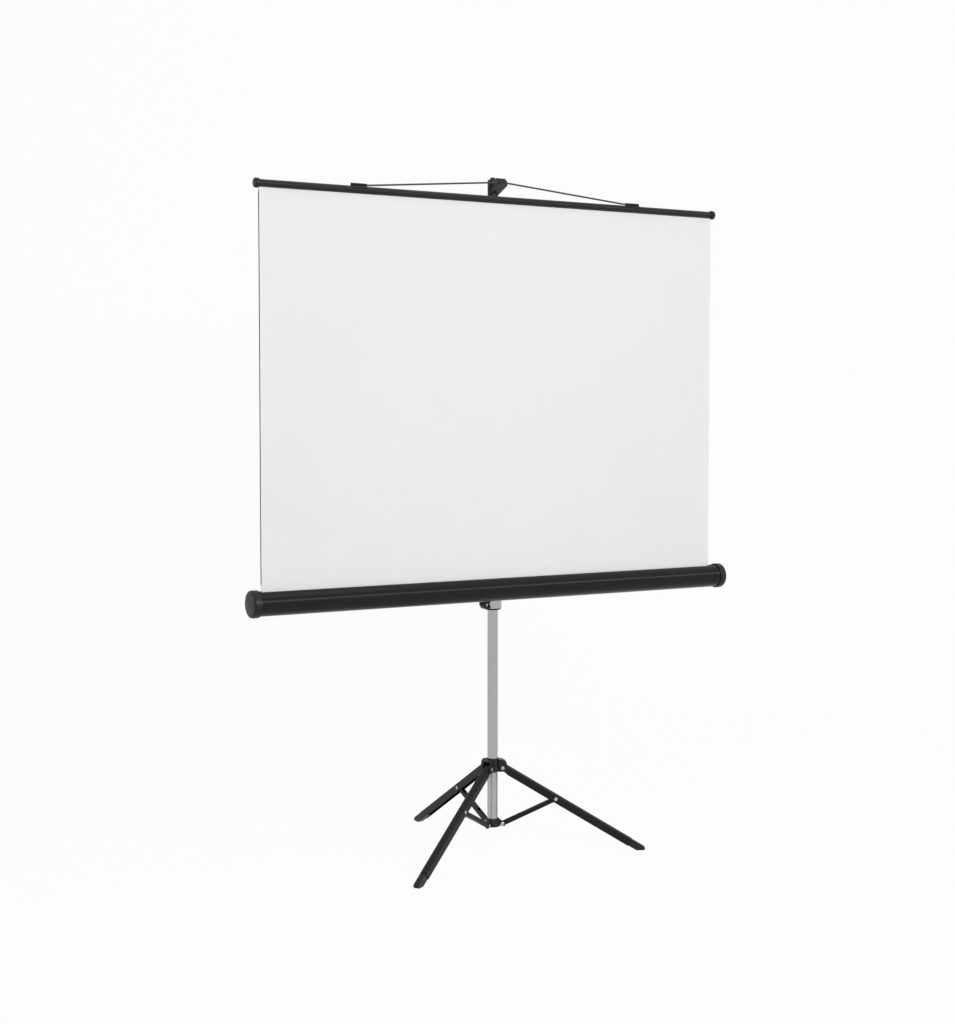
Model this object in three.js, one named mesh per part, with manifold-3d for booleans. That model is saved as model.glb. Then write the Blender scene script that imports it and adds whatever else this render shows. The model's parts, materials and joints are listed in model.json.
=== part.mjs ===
// Tripod projection screen, drawn out for use. Millimetres, +Z up, the screen faces -Y.
// Every sub-part is one closed solid in its own named mesh, modelled about the column's axis.
import * as THREE from "three";
import { mergeVertices } from "three/addons/utils/BufferGeometryUtils.js";
import Module from "manifold-3d";

const wasm = await Module();
wasm.setup();

// Clearances
const TOUCH_GAP = 0.3; // between fixed pieces that touch
const SLIDE_GAP = 0.4; // between a sleeve and the tube that it slides on
const HOLE_GAP = 0.3; // round a pin in its hole

// Column
const COLUMN_RADIUS = 15.5;
const COLUMN_WALL = 1.2;
const COLUMN_BOTTOM = 78;
const COLUMN_LENGTH = 1170;
const STOP_PIN_RADIUS = 2.5;
const STOP_PIN_PROUD = 4.5;

// Column foot, the lower collar
const COLLAR_WALL = 3.6;
const COLLAR_HEIGHT = 21;
const COLLAR_FLOOR = 3.7;
const COLLAR_FLOOR_BORE = 10;
const COLLAR_PIVOT_HEIGHT = 82;
const LUG_THICKNESS = 8;
const LUG_MARGIN = 7;

// Tripod hub
const HUB_WALL = 3;
const HUB_HEIGHT = 36;
const HUB_RING_HEIGHT = 3;
const HUB_PIVOT_HEIGHT = 249;
const HUB_PIVOT_ABOVE_BOTTOM = 11;
const HUB_CHEEK = 3;
const HUB_ROOF = 4;
const HUB_ARM_MARGIN = 14;
const HUB_ARM_ROUND = 20;
const HUB_ARM_LOWER_ROUND = 5;
const HUB_SCREW_RADIUS = 2.5;
const HUB_SCREW_HEAD_RADIUS = 4.5;
const HUB_SCREW_HEAD = 3;
const PIVOT_STANDOFF = 13.5; // from the column's surface to the leg and strut pivots

// Legs, feet and struts
const LEG_COUNT = 3;
const FIRST_LEG_AZIMUTH = 91.3; // the tripod stands a little turned on the column
const LEG_NAMES = ["rear", "left", "right"];
const FOOT_RADIUS = 443; // where a leg's pivot line meets the floor
const LEG_WIDTH = 20;
const LEG_ABOVE_PIVOTS = 13;
const LEG_BELOW_PIVOTS = 11;
const LEG_WALL = 1.5;
const LEG_CORNER = 4;
const LEG_PAST_PIVOT = 5;
const LEG_TO_HUB_GAP = 0.5; // between the folding leg's flanges and the hub
const LEG_REBATE_LENGTH = 24; // of the flanges cut back beside the hub
const LEG_REBATE_SLOPE = 12;
const LEG_END_TO_FLOOR = 44; // from the channel's end to the floor, along the pivot line
const BOOT_INSET = 1.5;
const BOOT_PAST_FLOOR = 4;
const BOOT_TONGUE = 32;
const BOOT_ROUND = 6;
const STRUT_WIDTH = 12;
const STRUT_HEIGHT = 13;
const STRUT_PIVOT_ALONG = 183; // from the hub pivot, along the leg
const STRUT_FORK_ROOM = 16; // of the fork past the lug, when the strut is half folded
const RIVET_RADIUS = 3;
const RIVET_HEAD_RADIUS = 5.5;
const RIVET_HEAD = 1.8;
const STRUT_RIVET_HEAD = 1.2;

// Carrier, clamp and lever
const CARRIER_WALL = 4.6;
const CARRIER_ABOVE_PIVOT = 38;
const CARRIER_SKIRT_WALL = 2.6;
const CARRIER_LIP = 4.4;
const CARRIER_LIP_WALL = 8.1;
const CARRIER_SLIT = 2.4;
const BOSS_RADIUS = 17;
const BOSS_DEPTH = 5.3;
const CLAMP_HEIGHT = 24;
const CLAMP_BELOW_CASE = 3.5;
const CLAMP_WALL = 7.5;
const CLAMP_SPLIT = 4;
const EAR_THICKNESS = 5;
const EAR_LENGTH = 12;
const CLAMP_BOLT_RADIUS = 3;
const CLAMP_EYE_RADIUS = 5.2;
const CLAMP_EYE_HEIGHT = 8;
const CLAMP_NUT_RADIUS = 5.8;
const CLAMP_NUT_DEPTH = 5;
const LEVER_CAM_RADIUS = 9;
const LEVER_TIP_RADIUS = 3.5;
const LEVER_TIP_HEIGHT = 11;
const LEVER_REACH = 20;
const LEVER_ANGLE = 184; // of the lever's arm from +X, closed
const LEVER_PIN_RADIUS = 2.4;
const LEVER_PIN_PROUD = 1.5;
const PIVOT_RIVET_RADIUS = 4.7;
const PIVOT_HEAD_RADIUS = 8;
const PIVOT_HEAD = 1.8;
const WASHER_RADIUS = 16;
const WASHER_THICKNESS = 1.4;

// Case
const CASE_HEIGHT = 782; // of its axis
const CASE_RADIUS = 34.2;
const CASE_WALL = 1.5;
const CASE_SLOT = 6;
const CASE_PAST_LEFT_EDGE = 20;
const CASE_PAST_RIGHT_EDGE = 44; // more room at the end that holds the spring shaft
const CAP_WALL = 3;
const CAP_SKIRT = 12;
const CAP_END = 10;
const CAP_ROUND = 6;
const CAP_BOSS_RADIUS = 8;
const CAP_BOSS_LENGTH = 9;
const SADDLE_THICKNESS = 2.5;
const SADDLE_LENGTH = 64;
const SADDLE_HALF_ANGLE = 48;
const SADDLE_PAD = 1.5;
const SADDLE_PAD_RADIUS = 18;
const SADDLE_RIVET_RADIUS = 2.4;
const SADDLE_RIVET_HEAD_RADIUS = 4.2;
const SADDLE_RIVET_FROM_END = 7;

// Roller and fabric
const FABRIC_WIDTH = 1500;
const FABRIC_THICKNESS = 0.4;
const FABRIC_IN_FRONT = 8; // fabric plane in front of the case's axis
const ROLLER_RADIUS = 14;
const ROLLER_WALL = 1.4;
const ROLLER_PAST_FABRIC = 3;
const ROLLER_PLUG_LENGTH = 24;
const ROLL_TURNS = 2;
const ROLL_PITCH = 0.75;
const SHAFT_RADIUS = 4;
const SHAFT_LENGTH = 560;
const SPRING_WIRE_RADIUS = 1;
const SPRING_RADIUS = 8.4;
const SPRING_CURLS = 18;
const SPRING_PITCH = 20;
const SPRING_FROM_PLUG = 40;

// Top bar and bail
const BAR_HEIGHT = 1896; // of its axis
const BAR_RADIUS = 10.4;
const BAR_WALL = 1.3;
const BAR_SLOT = 3;
const BAR_CAP_WALL = 2.6;
const BAR_CAP_SKIRT = 9;
const BAR_CAP_END = 3;
const BAR_CAP_ROUND = 4;
const BAR_CAP_PAST_FABRIC = 1;
const ROD_RADIUS = 3;
const CLIP_FROM_MIDDLE = 456;
const CLIP_LENGTH = 46;
const CLIP_WALL = 1;
const CLIP_HALF_ANGLE = 70;
const CLIP_EYE_WALL = 1.2;
const BAIL_WIRE_RADIUS = 2.6;
const BAIL_END = 24; // length of wire inside a clip
const BAIL_BEND = 9;

// Mast
const MAST_RADIUS = 12;
const MAST_WALL = 1.2;
const MAST_LENGTH = 876;
const GUIDE_WALL = 5;
const GUIDE_OVERLAP = 25;
const GUIDE_LIP = 10;
const GUIDE_BOSS_RADIUS = 9;
const GUIDE_BOSS_LENGTH = 9;
const KNOB_SCREW_RADIUS = 3;
const KNOB_RADIUS = 13;
const KNOB_DEPTH = 13;
const KNOB_LOBES = 6;
const KNOB_LOBE_DEPTH = 1.6;
const HEAD_WALL = 3;
const HEAD_SOCKET = 48;
const HEAD_ABOVE_BAR = 67;
const HEAD_ROUND = 5;
const HEAD_BUTTON_RADIUS = 7.5;
const HEAD_BUTTON = 5;
const HEAD_HEIGHT = 90;
const HOOK_WIDTH = 28;
const HOOK_REACH = 58; // from the mast's axis to the hook's tip
const HOOK_TOP_BELOW_HEAD = 1;
const HOOK_ROUND = 17;
const HOOK_DEPTH = 22; // at the tip
const HOOK_ROOT_DROP = 21.5; // more depth at the root
const HOOK_LIP = 3.2; // from the notch to the tip
const HOOK_NOTCH_DEPTH = 17.5;
const MAST_PLUG_FLANGE = 10;
const MAST_PLUG_SPIGOT = 15;

// Finishes
const BLACK_PAINT = { color: 0x161618, roughness: 0.28, metalness: 0.3 };
const BLACK_PLASTIC = { color: 0x1d1d1f, roughness: 0.45, metalness: 0 };
const CHROME = { color: 0xc9cbcd, roughness: 0.12, metalness: 1 };
const BRIGHT_STEEL = { color: 0xa9abad, roughness: 0.3, metalness: 1 };
const BLACK_WIRE = { color: 0x2a2a2c, roughness: 0.35, metalness: 0.6 };
const WHITE_FABRIC = { color: 0xebebec, roughness: 0.9, metalness: 0 };

// Places that follow from the sizes
const COLUMN_TOP = COLUMN_BOTTOM + COLUMN_LENGTH;
const COLUMN_BORE = COLUMN_RADIUS - COLUMN_WALL;
const SLEEVE_BORE = COLUMN_RADIUS + SLIDE_GAP;
const PIVOT_RADIUS = COLUMN_RADIUS + PIVOT_STANDOFF;
const HUB_BOTTOM = HUB_PIVOT_HEIGHT - HUB_PIVOT_ABOVE_BOTTOM;
const HUB_TOP = HUB_BOTTOM + HUB_HEIGHT;
const HUB_RADIUS = SLEEVE_BORE + HUB_WALL;
const STOP_PIN_HEIGHT = HUB_BOTTOM - TOUCH_GAP - STOP_PIN_RADIUS;
const HUB_TO_PIVOT = PIVOT_RADIUS - HUB_RADIUS - LEG_TO_HUB_GAP;
const FLANGE_AT_HUB = Math.sqrt(Math.max(HUB_TO_PIVOT ** 2 - LEG_PAST_PIVOT ** 2, RIVET_RADIUS ** 2));

// Each strut runs from its pivot on the leg down to the column foot.
const LEG_SLOPE = Math.atan2(HUB_PIVOT_HEIGHT, FOOT_RADIUS - PIVOT_RADIUS);
const LEG_TO_FLOOR = HUB_PIVOT_HEIGHT / Math.sin(LEG_SLOPE);
const LEG_END = LEG_TO_FLOOR - LEG_END_TO_FLOOR;
const STRUT_RUN = STRUT_PIVOT_ALONG * Math.cos(LEG_SLOPE);
const STRUT_RISE = HUB_PIVOT_HEIGHT - COLLAR_PIVOT_HEIGHT - STRUT_PIVOT_ALONG * Math.sin(LEG_SLOPE);
const STRUT_SLOPE = Math.atan2(STRUT_RISE, STRUT_RUN);
const STRUT_LENGTH = Math.hypot(STRUT_RUN, STRUT_RISE);
const STRUT_TURN = Math.PI - LEG_SLOPE - STRUT_SLOPE;

// While the tripod folds evenly, the strut's lower end leaves the foot's pivot and comes back to it.
const FOLD_STEPS = 24;
const FOLD_PATH = Array.from({ length: FOLD_STEPS + 1 }, (_, i) => foldedStrutEnd(i / FOLD_STEPS));
const FOLD_DRIFT = Math.max(...FOLD_PATH.map(([inwards]) => inwards));
const FOLD_DROP = Math.max(...FOLD_PATH.map(([, downwards]) => downwards));
const STRUT_FORK = FOLD_DROP + STRUT_FORK_ROOM;

function foldedStrutEnd(share) {
  const open = 1 - share;
  const legLean = open * (Math.PI / 2 - LEG_SLOPE);
  const strutLean = open * (Math.PI / 2 - STRUT_SLOPE);
  const apart = HUB_PIVOT_HEIGHT - COLLAR_PIVOT_HEIGHT;
  const hubRise = share * (STRUT_PIVOT_ALONG + STRUT_LENGTH - apart);
  const reach = STRUT_PIVOT_ALONG * Math.cos(legLean) + STRUT_LENGTH * Math.cos(strutLean);
  const inwards = STRUT_LENGTH * Math.sin(strutLean) - STRUT_PIVOT_ALONG * Math.sin(legLean);
  return [inwards, reach - apart - hubRise];
}

// From the column forwards: carrier boss, washer, saddle, case, fabric
const BOSS_FRONT = -(SLEEVE_BORE + BOSS_DEPTH);
const WASHER_BACK = BOSS_FRONT - TOUCH_GAP;
const SADDLE_BACK = WASHER_BACK - WASHER_THICKNESS - TOUCH_GAP;
const CASE_BACK = SADDLE_BACK - SADDLE_PAD - SADDLE_THICKNESS - TOUCH_GAP;
const CASE_Y = CASE_BACK - CASE_RADIUS;
const CASE_BORE = CASE_RADIUS - CASE_WALL;
const FABRIC_Y = CASE_Y - FABRIC_IN_FRONT;
const FABRIC_X = (CASE_PAST_LEFT_EDGE - CASE_PAST_RIGHT_EDGE) / 2; // the case is centred on the column
const FABRIC_LEFT = FABRIC_X - FABRIC_WIDTH / 2;
const FABRIC_RIGHT = FABRIC_X + FABRIC_WIDTH / 2;
const CASE_LEFT = FABRIC_LEFT - CASE_PAST_LEFT_EDGE;
const CASE_RIGHT = FABRIC_RIGHT + CASE_PAST_RIGHT_EDGE;
const ROLL_INNER = ROLLER_RADIUS + TOUCH_GAP;
const ROLL_OUTER = ROLL_INNER + ROLL_TURNS * ROLL_PITCH + FABRIC_THICKNESS;
const ROLLER_Y = FABRIC_Y + ROLL_OUTER - FABRIC_THICKNESS / 2;
const ROLLER_LEFT = FABRIC_LEFT - ROLLER_PAST_FABRIC;
const ROLLER_RIGHT = FABRIC_RIGHT + ROLLER_PAST_FABRIC;

// Clamp under the case
const CLAMP_TOP = CASE_HEIGHT - CASE_RADIUS - CLAMP_BELOW_CASE;
const CLAMP_BOTTOM = CLAMP_TOP - CLAMP_HEIGHT;
const CLAMP_MIDDLE = (CLAMP_TOP + CLAMP_BOTTOM) / 2;
const SKIRT_RADIUS = SLEEVE_BORE + CARRIER_SKIRT_WALL;
const CLAMP_BORE = SKIRT_RADIUS + TOUCH_GAP;
const CLAMP_RADIUS = CLAMP_BORE + CLAMP_WALL;
const EAR_FRONT = -(CLAMP_SPLIT / 2 + EAR_THICKNESS);
const EAR_END = -(CLAMP_RADIUS + EAR_LENGTH);
const CLAMP_BOLT_X = -(CLAMP_RADIUS + EAR_LENGTH / 2);
const LEVER_PIN_Y = EAR_FRONT - TOUCH_GAP - LEVER_CAM_RADIUS;

// Top bar, bail and mast
const BAR_CAP_LEFT = FABRIC_LEFT - BAR_CAP_PAST_FABRIC;
const BAR_CAP_RIGHT = FABRIC_RIGHT + BAR_CAP_PAST_FABRIC;
const BAR_LEFT = BAR_CAP_LEFT - BAR_CAP_SKIRT;
const BAR_RIGHT = BAR_CAP_RIGHT + BAR_CAP_SKIRT;
const BAR_BORE = BAR_RADIUS - BAR_WALL;
const BAIL_PIVOT_HEIGHT = BAR_HEIGHT + BAR_RADIUS + CLIP_WALL + BAIL_WIRE_RADIUS + HOLE_GAP;
const HEAD_TOP = BAR_HEIGHT + HEAD_ABOVE_BAR;
const HEAD_BOTTOM = HEAD_TOP - HEAD_HEIGHT;
const HEAD_RADIUS = MAST_RADIUS + TOUCH_GAP + HEAD_WALL;
const HOOK_TOP = HEAD_TOP - HOOK_TOP_BELOW_HEAD;
const NOTCH_WIDTH = 2 * (BAIL_WIRE_RADIUS + HOLE_GAP);
const NOTCH_Y = -(HOOK_REACH - HOOK_LIP - NOTCH_WIDTH / 2);
const NOTCH_FLOOR = HOOK_TOP - HOOK_NOTCH_DEPTH;
const BAIL_CROWN_HEIGHT = NOTCH_FLOOR + HOLE_GAP + BAIL_WIRE_RADIUS;
const BAIL_CROWN = HOOK_WIDTH / 2 + BAIL_BEND; // half the level stretch over the hook
const MAST_TOP = HEAD_BOTTOM + HEAD_SOCKET;
const MAST_BOTTOM = MAST_TOP - MAST_LENGTH;
const GUIDE_BOTTOM = COLUMN_TOP - GUIDE_OVERLAP;
const GUIDE_RADIUS = COLUMN_RADIUS + TOUCH_GAP + GUIDE_WALL;
const KNOB_HEIGHT = (GUIDE_BOTTOM + COLUMN_TOP) / 2;
const KNOB_FRONT = GUIDE_RADIUS + GUIDE_BOSS_LENGTH + TOUCH_GAP;

const FULL_TURN = 2 * Math.PI;
const X_AXIS = new THREE.Vector3(1, 0, 0);
const Y_AXIS = new THREE.Vector3(0, 1, 0);
const Z_AXIS = new THREE.Vector3(0, 0, 1);

// A closed geometry as a solid that can be cut and joined.
function solid(geometry) {
  const bare = geometry.clone();
  bare.deleteAttribute("normal");
  bare.deleteAttribute("uv");
  const merged = mergeVertices(bare);
  const corners = merged.index.array;
  const kept = [];
  for (let i = 0; i < corners.length; i += 3) {
    const [a, b, c] = [corners[i], corners[i + 1], corners[i + 2]];
    if (a !== b && b !== c && c !== a) kept.push(a, b, c);
  }
  const vertProperties = merged.attributes.position.array;
  return new wasm.Manifold(
    new wasm.Mesh({ numProp: 3, vertProperties, triVerts: new Uint32Array(kept) }),
  );
}

function geometryOf(body) {
  const made = body.getMesh();
  const geometry = new THREE.BufferGeometry();
  geometry.setAttribute("position", new THREE.BufferAttribute(made.vertProperties, 3));
  geometry.setIndex(new THREE.BufferAttribute(made.triVerts, 1));
  geometry.computeVertexNormals();
  return geometry;
}

function joined(bodies) {
  return bodies.reduce((whole, body) => whole.add(body));
}

function cut(body, tools) {
  return tools.reduce((left, tool) => left.subtract(tool), body);
}

function disc(radius, x = 0, y = 0) {
  const shape = new THREE.Shape();
  shape.absarc(x, y, radius, 0, FULL_TURN, false);
  return shape;
}

function ring(outer, inner) {
  const shape = disc(outer);
  const bore = new THREE.Path();
  bore.absarc(0, 0, inner, 0, FULL_TURN, true);
  shape.holes.push(bore);
  return shape;
}

function polygon(points) {
  return new THREE.Shape(points.map(([x, y]) => new THREE.Vector2(x, y)));
}

function rectangle(x0, x1, y0, y1) {
  return polygon([
    [x0, y0],
    [x1, y0],
    [x1, y1],
    [x0, y1],
  ]);
}

function extruded(shape, depth, curveSegments) {
  return new THREE.ExtrudeGeometry(shape, { depth, curveSegments, bevelEnabled: false });
}

// A shape in X and Y, from one height to another.
function upright(shape, z0, z1, curveSegments = 12) {
  return solid(extruded(shape, z1 - z0, curveSegments).translate(0, 0, z0));
}

// A shape in Y and Z, from one X to another.
function lengthwise(shape, x0, x1, curveSegments = 12) {
  const turn = new THREE.Matrix4().makeBasis(Y_AXIS, Z_AXIS, X_AXIS);
  return solid(extruded(shape, x1 - x0, curveSegments).applyMatrix4(turn).translate(x0, 0, 0));
}

// A shape in X and Z, from one Y to another.
function crosswise(shape, y0, y1, curveSegments = 12) {
  const geometry = extruded(shape, y1 - y0, curveSegments);
  return solid(geometry.rotateX(Math.PI / 2).translate(0, y1, 0));
}

// A profile of [radius, height] points, anticlockwise, turned about +Z.
function turned(profile, segments = 28) {
  const onAxis = profile[0][0] === 0;
  const points = onAxis ? profile : [...profile, profile[0]];
  const vectors = points.map(([r, z]) => new THREE.Vector2(r, z));
  return new THREE.LatheGeometry(vectors, segments).rotateX(Math.PI / 2);
}

// Points of a quarter round from one direction to another, in degrees, for turned profiles.
function round(r, z, radius, fromDegrees, toDegrees, steps = 4) {
  const points = [];
  for (let i = 0; i <= steps; i += 1) {
    const angle = THREE.MathUtils.degToRad(fromDegrees + ((toDegrees - fromDegrees) * i) / steps);
    points.push([r + radius * Math.cos(angle), z + radius * Math.sin(angle)]);
  }
  return points;
}

// A round wire along points, with flat ends. Each ring stands square to its stretch of the path.
function wire(points, radius, sides) {
  const directions = points.map((point, i) => {
    const before = points[Math.max(i - 1, 0)];
    const after = points[Math.min(i + 1, points.length - 1)];
    return after.clone().sub(before).normalize();
  });
  const side = new THREE.Vector3(0.31, 0.87, 0.38).cross(directions[0]).normalize();
  const positions = [];
  points.forEach((point, i) => {
    side.addScaledVector(directions[i], -side.dot(directions[i])).normalize();
    const other = directions[i].clone().cross(side);
    for (let k = 0; k < sides; k += 1) {
      const angle = (FULL_TURN * k) / sides;
      const corner = point.clone().addScaledVector(side, radius * Math.cos(angle));
      positions.push(...corner.addScaledVector(other, radius * Math.sin(angle)).toArray());
    }
  });
  const index = [];
  for (let i = 0; i + 1 < points.length; i += 1) {
    for (let k = 0; k < sides; k += 1) {
      const [a, b] = [i * sides + k, i * sides + ((k + 1) % sides)];
      index.push(a, b, b + sides, a, b + sides, a + sides);
    }
  }
  const last = (points.length - 1) * sides;
  for (let k = 1; k + 1 < sides; k += 1) {
    index.push(0, k + 1, k, last, last + k, last + k + 1);
  }
  const geometry = new THREE.BufferGeometry();
  geometry.setAttribute("position", new THREE.Float32BufferAttribute(positions, 3));
  return solid(geometry.setIndex(index));
}

// Least gap between turns of a wound wire, measured between points at least half a turn apart.
function leastGap(points, radius, halfTurnSteps) {
  let least = Infinity;
  for (let i = 0; i < points.length; i += 1) {
    for (let k = i + halfTurnSteps; k < points.length; k += 1) {
      least = Math.min(least, points[i].distanceTo(points[k]));
    }
  }
  return least - 2 * radius;
}

// A rivet along Y about the origin: a shank between two domed heads.
function rivet(radius, headRadius, head, grip) {
  const half = grip / 2 + TOUCH_GAP;
  const profile = [
    [0, -half - head],
    [headRadius * 0.7, -half - head],
    [headRadius, -half - head * 0.4],
    [headRadius, -half],
    [radius, -half],
    [radius, half],
    [headRadius, half],
    [headRadius, half + head * 0.4],
    [headRadius * 0.7, half + head],
    [0, half + head],
  ];
  return solid(turned(profile, 16).rotateX(Math.PI / 2));
}

// Stand

function columnTube() {
  const tube = upright(ring(COLUMN_RADIUS, COLUMN_BORE), COLUMN_BOTTOM, COLUMN_TOP, 16);
  const across = 2 * COLUMN_RADIUS;
  const pinHole = crosswise(disc(STOP_PIN_RADIUS + HOLE_GAP, 0, STOP_PIN_HEIGHT), -across, across, 6);
  const knobHole = crosswise(disc(KNOB_SCREW_RADIUS + HOLE_GAP, 0, KNOB_HEIGHT), 0, across, 6);
  return cut(tube, [pinHole, knobHole]);
}

function columnFoot() {
  const bore = COLUMN_RADIUS + TOUCH_GAP;
  const outer = bore + COLLAR_WALL;
  const seat = COLUMN_BOTTOM - TOUCH_GAP;
  const bottom = seat - COLLAR_FLOOR;
  const top = COLUMN_BOTTOM + COLLAR_HEIGHT;
  const sleeve = solid(
    turned([
      [COLLAR_FLOOR_BORE, bottom],
      [outer - 1, bottom],
      [outer, bottom + 1],
      [outer, top - 1],
      [outer - 1, top],
      [bore, top],
      [bore, seat],
      [COLLAR_FLOOR_BORE, seat],
    ]),
  );
  const lugEnd = PIVOT_RADIUS + LUG_MARGIN;
  const slotHalf = RIVET_RADIUS + HOLE_GAP;
  const lugs = legAzimuths().map((azimuth) => {
    const outline = new THREE.Shape();
    outline.moveTo(bore + COLLAR_WALL / 2, bottom);
    outline.lineTo(PIVOT_RADIUS - slotHalf - FOLD_DRIFT, bottom);
    outline.lineTo(PIVOT_RADIUS - slotHalf - FOLD_DRIFT, COLLAR_PIVOT_HEIGHT);
    outline.lineTo(PIVOT_RADIUS - slotHalf, COLLAR_PIVOT_HEIGHT);
    outline.absarc(PIVOT_RADIUS, COLLAR_PIVOT_HEIGHT, slotHalf, Math.PI, 0, true);
    outline.lineTo(PIVOT_RADIUS + slotHalf, bottom);
    outline.lineTo(lugEnd, bottom);
    outline.lineTo(lugEnd, COLLAR_PIVOT_HEIGHT);
    outline.absarc(PIVOT_RADIUS, COLLAR_PIVOT_HEIGHT, LUG_MARGIN, 0, Math.PI / 2, false);
    outline.lineTo(bore + COLLAR_WALL / 2, top - 1);
    const lug = crosswise(outline, -LUG_THICKNESS / 2, LUG_THICKNESS / 2, 5);
    return lug.rotate([0, 0, azimuth]);
  });
  return joined([sleeve, ...lugs]);
}

function hubStopPin() {
  const half = COLUMN_RADIUS + STOP_PIN_PROUD;
  return crosswise(disc(STOP_PIN_RADIUS, 0, STOP_PIN_HEIGHT), -half, half, 6);
}

function mastGuide() {
  const bore = COLUMN_RADIUS + TOUCH_GAP;
  const lipBore = MAST_RADIUS + SLIDE_GAP;
  const seat = COLUMN_TOP + TOUCH_GAP;
  const top = seat + GUIDE_LIP;
  const collar = solid(
    turned([
      [bore, GUIDE_BOTTOM],
      [GUIDE_RADIUS - 1, GUIDE_BOTTOM],
      [GUIDE_RADIUS, GUIDE_BOTTOM + 1],
      [GUIDE_RADIUS, top - 3],
      [GUIDE_RADIUS - 3, top],
      [lipBore, top],
      [lipBore, seat],
      [bore, seat],
    ]),
  );
  const bossEnd = GUIDE_RADIUS + GUIDE_BOSS_LENGTH;
  const bossStart = bore + GUIDE_WALL / 2;
  const boss = crosswise(disc(GUIDE_BOSS_RADIUS, 0, KNOB_HEIGHT), bossStart, bossEnd, 8);
  const hole = crosswise(disc(KNOB_SCREW_RADIUS + HOLE_GAP, 0, KNOB_HEIGHT), 0, bossEnd + 1, 6);
  return cut(collar.add(boss), [hole]);
}

// Tripod

function legAzimuths() {
  return Array.from({ length: LEG_COUNT }, (_, i) => FIRST_LEG_AZIMUTH + (360 * i) / LEG_COUNT);
}

function tripodHub() {
  const reach = PIVOT_RADIUS + HUB_ARM_MARGIN;
  const slotWidth = LEG_WIDTH + 2 * TOUCH_GAP;
  const armHalf = slotWidth / 2 + HUB_CHEEK;
  const sleeve = upright(ring(HUB_RADIUS, SLEEVE_BORE), HUB_BOTTOM, HUB_TOP + HUB_RING_HEIGHT, 14);
  const outline = new THREE.Shape();
  outline.moveTo(SLEEVE_BORE + HUB_WALL / 2, HUB_BOTTOM);
  outline.lineTo(reach - HUB_ARM_LOWER_ROUND, HUB_BOTTOM);
  outline.absarc(
    reach - HUB_ARM_LOWER_ROUND,
    HUB_BOTTOM + HUB_ARM_LOWER_ROUND,
    HUB_ARM_LOWER_ROUND,
    -Math.PI / 2,
    0,
    false,
  );
  outline.absarc(reach - HUB_ARM_ROUND, HUB_TOP - HUB_ARM_ROUND, HUB_ARM_ROUND, 0, Math.PI / 2, false);
  outline.lineTo(SLEEVE_BORE + HUB_WALL / 2, HUB_TOP);
  const slot = rectangle(HUB_RADIUS, reach + 1, HUB_BOTTOM - 1, HUB_TOP - HUB_ROOF);
  const pivotHole = disc(RIVET_RADIUS + HOLE_GAP, PIVOT_RADIUS, HUB_PIVOT_HEIGHT);
  const arms = legAzimuths().map((azimuth) =>
    cut(crosswise(outline, -armHalf, armHalf, 4), [
      crosswise(slot, -slotWidth / 2, slotWidth / 2),
      crosswise(pivotHole, -armHalf - 1, armHalf + 1, 6),
    ]).rotate([0, 0, azimuth]),
  );
  const bore = upright(disc(SLEEVE_BORE), HUB_BOTTOM - 1, HUB_TOP + HUB_RING_HEIGHT + 1, 14);
  const screwHole = crosswise(disc(HUB_SCREW_RADIUS + HOLE_GAP, 0, HUB_PIVOT_HEIGHT), -reach, 0, 6);
  return cut(joined([sleeve, ...arms]), [bore, screwHole]);
}

function hubScrew() {
  const face = HUB_RADIUS + TOUCH_GAP;
  const profile = [
    [0, COLUMN_RADIUS + TOUCH_GAP],
    [HUB_SCREW_RADIUS, COLUMN_RADIUS + TOUCH_GAP],
    [HUB_SCREW_RADIUS, face],
    [HUB_SCREW_HEAD_RADIUS, face],
    [HUB_SCREW_HEAD_RADIUS, face + HUB_SCREW_HEAD * 0.6],
    [HUB_SCREW_HEAD_RADIUS * 0.7, face + HUB_SCREW_HEAD],
    [0, face + HUB_SCREW_HEAD],
  ];
  return solid(turned(profile, 16).rotateX(Math.PI / 2)).translate([0, 0, HUB_PIVOT_HEIGHT]);
}

// An inverted U-channel along +X from its hub pivot at the origin, cut back below where it turns in the hub.
function legChannel() {
  const half = LEG_WIDTH / 2;
  const inner = half - LEG_WALL;
  const [top, bottom] = [LEG_ABOVE_PIVOTS, -LEG_BELOW_PIVOTS];
  const innerCorner = Math.max(LEG_CORNER - LEG_WALL, 0.5);
  const section = new THREE.Shape();
  section.moveTo(-half, bottom);
  section.lineTo(-inner, bottom);
  section.lineTo(-inner, top - LEG_CORNER);
  section.absarc(-inner + innerCorner, top - LEG_WALL - innerCorner, innerCorner, Math.PI, Math.PI / 2, true);
  section.absarc(inner - innerCorner, top - LEG_WALL - innerCorner, innerCorner, Math.PI / 2, 0, true);
  section.lineTo(inner, bottom);
  section.lineTo(half, bottom);
  section.absarc(half - LEG_CORNER, top - LEG_CORNER, LEG_CORNER, 0, Math.PI / 2, false);
  section.absarc(-half + LEG_CORNER, top - LEG_CORNER, LEG_CORNER, Math.PI / 2, Math.PI, false);
  const channel = lengthwise(section, -LEG_PAST_PIVOT, LEG_END, 2);
  const holes = [0, STRUT_PIVOT_ALONG].map((along) =>
    crosswise(disc(RIVET_RADIUS + HOLE_GAP, along, 0), -LEG_WIDTH, LEG_WIDTH, 6),
  );
  if (LEG_BELOW_PIVOTS <= FLANGE_AT_HUB) {
    return cut(channel, holes);
  }
  const rebate = polygon([
    [-LEG_PAST_PIVOT - 1, bottom - 1],
    [LEG_REBATE_LENGTH, bottom - 1],
    [LEG_REBATE_LENGTH, bottom],
    [LEG_REBATE_LENGTH - LEG_REBATE_SLOPE, -FLANGE_AT_HUB],
    [-LEG_PAST_PIVOT - 1, -FLANGE_AT_HUB],
  ]);
  return cut(channel, [...holes, crosswise(rebate, -LEG_WIDTH, LEG_WIDTH)]);
}

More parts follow.
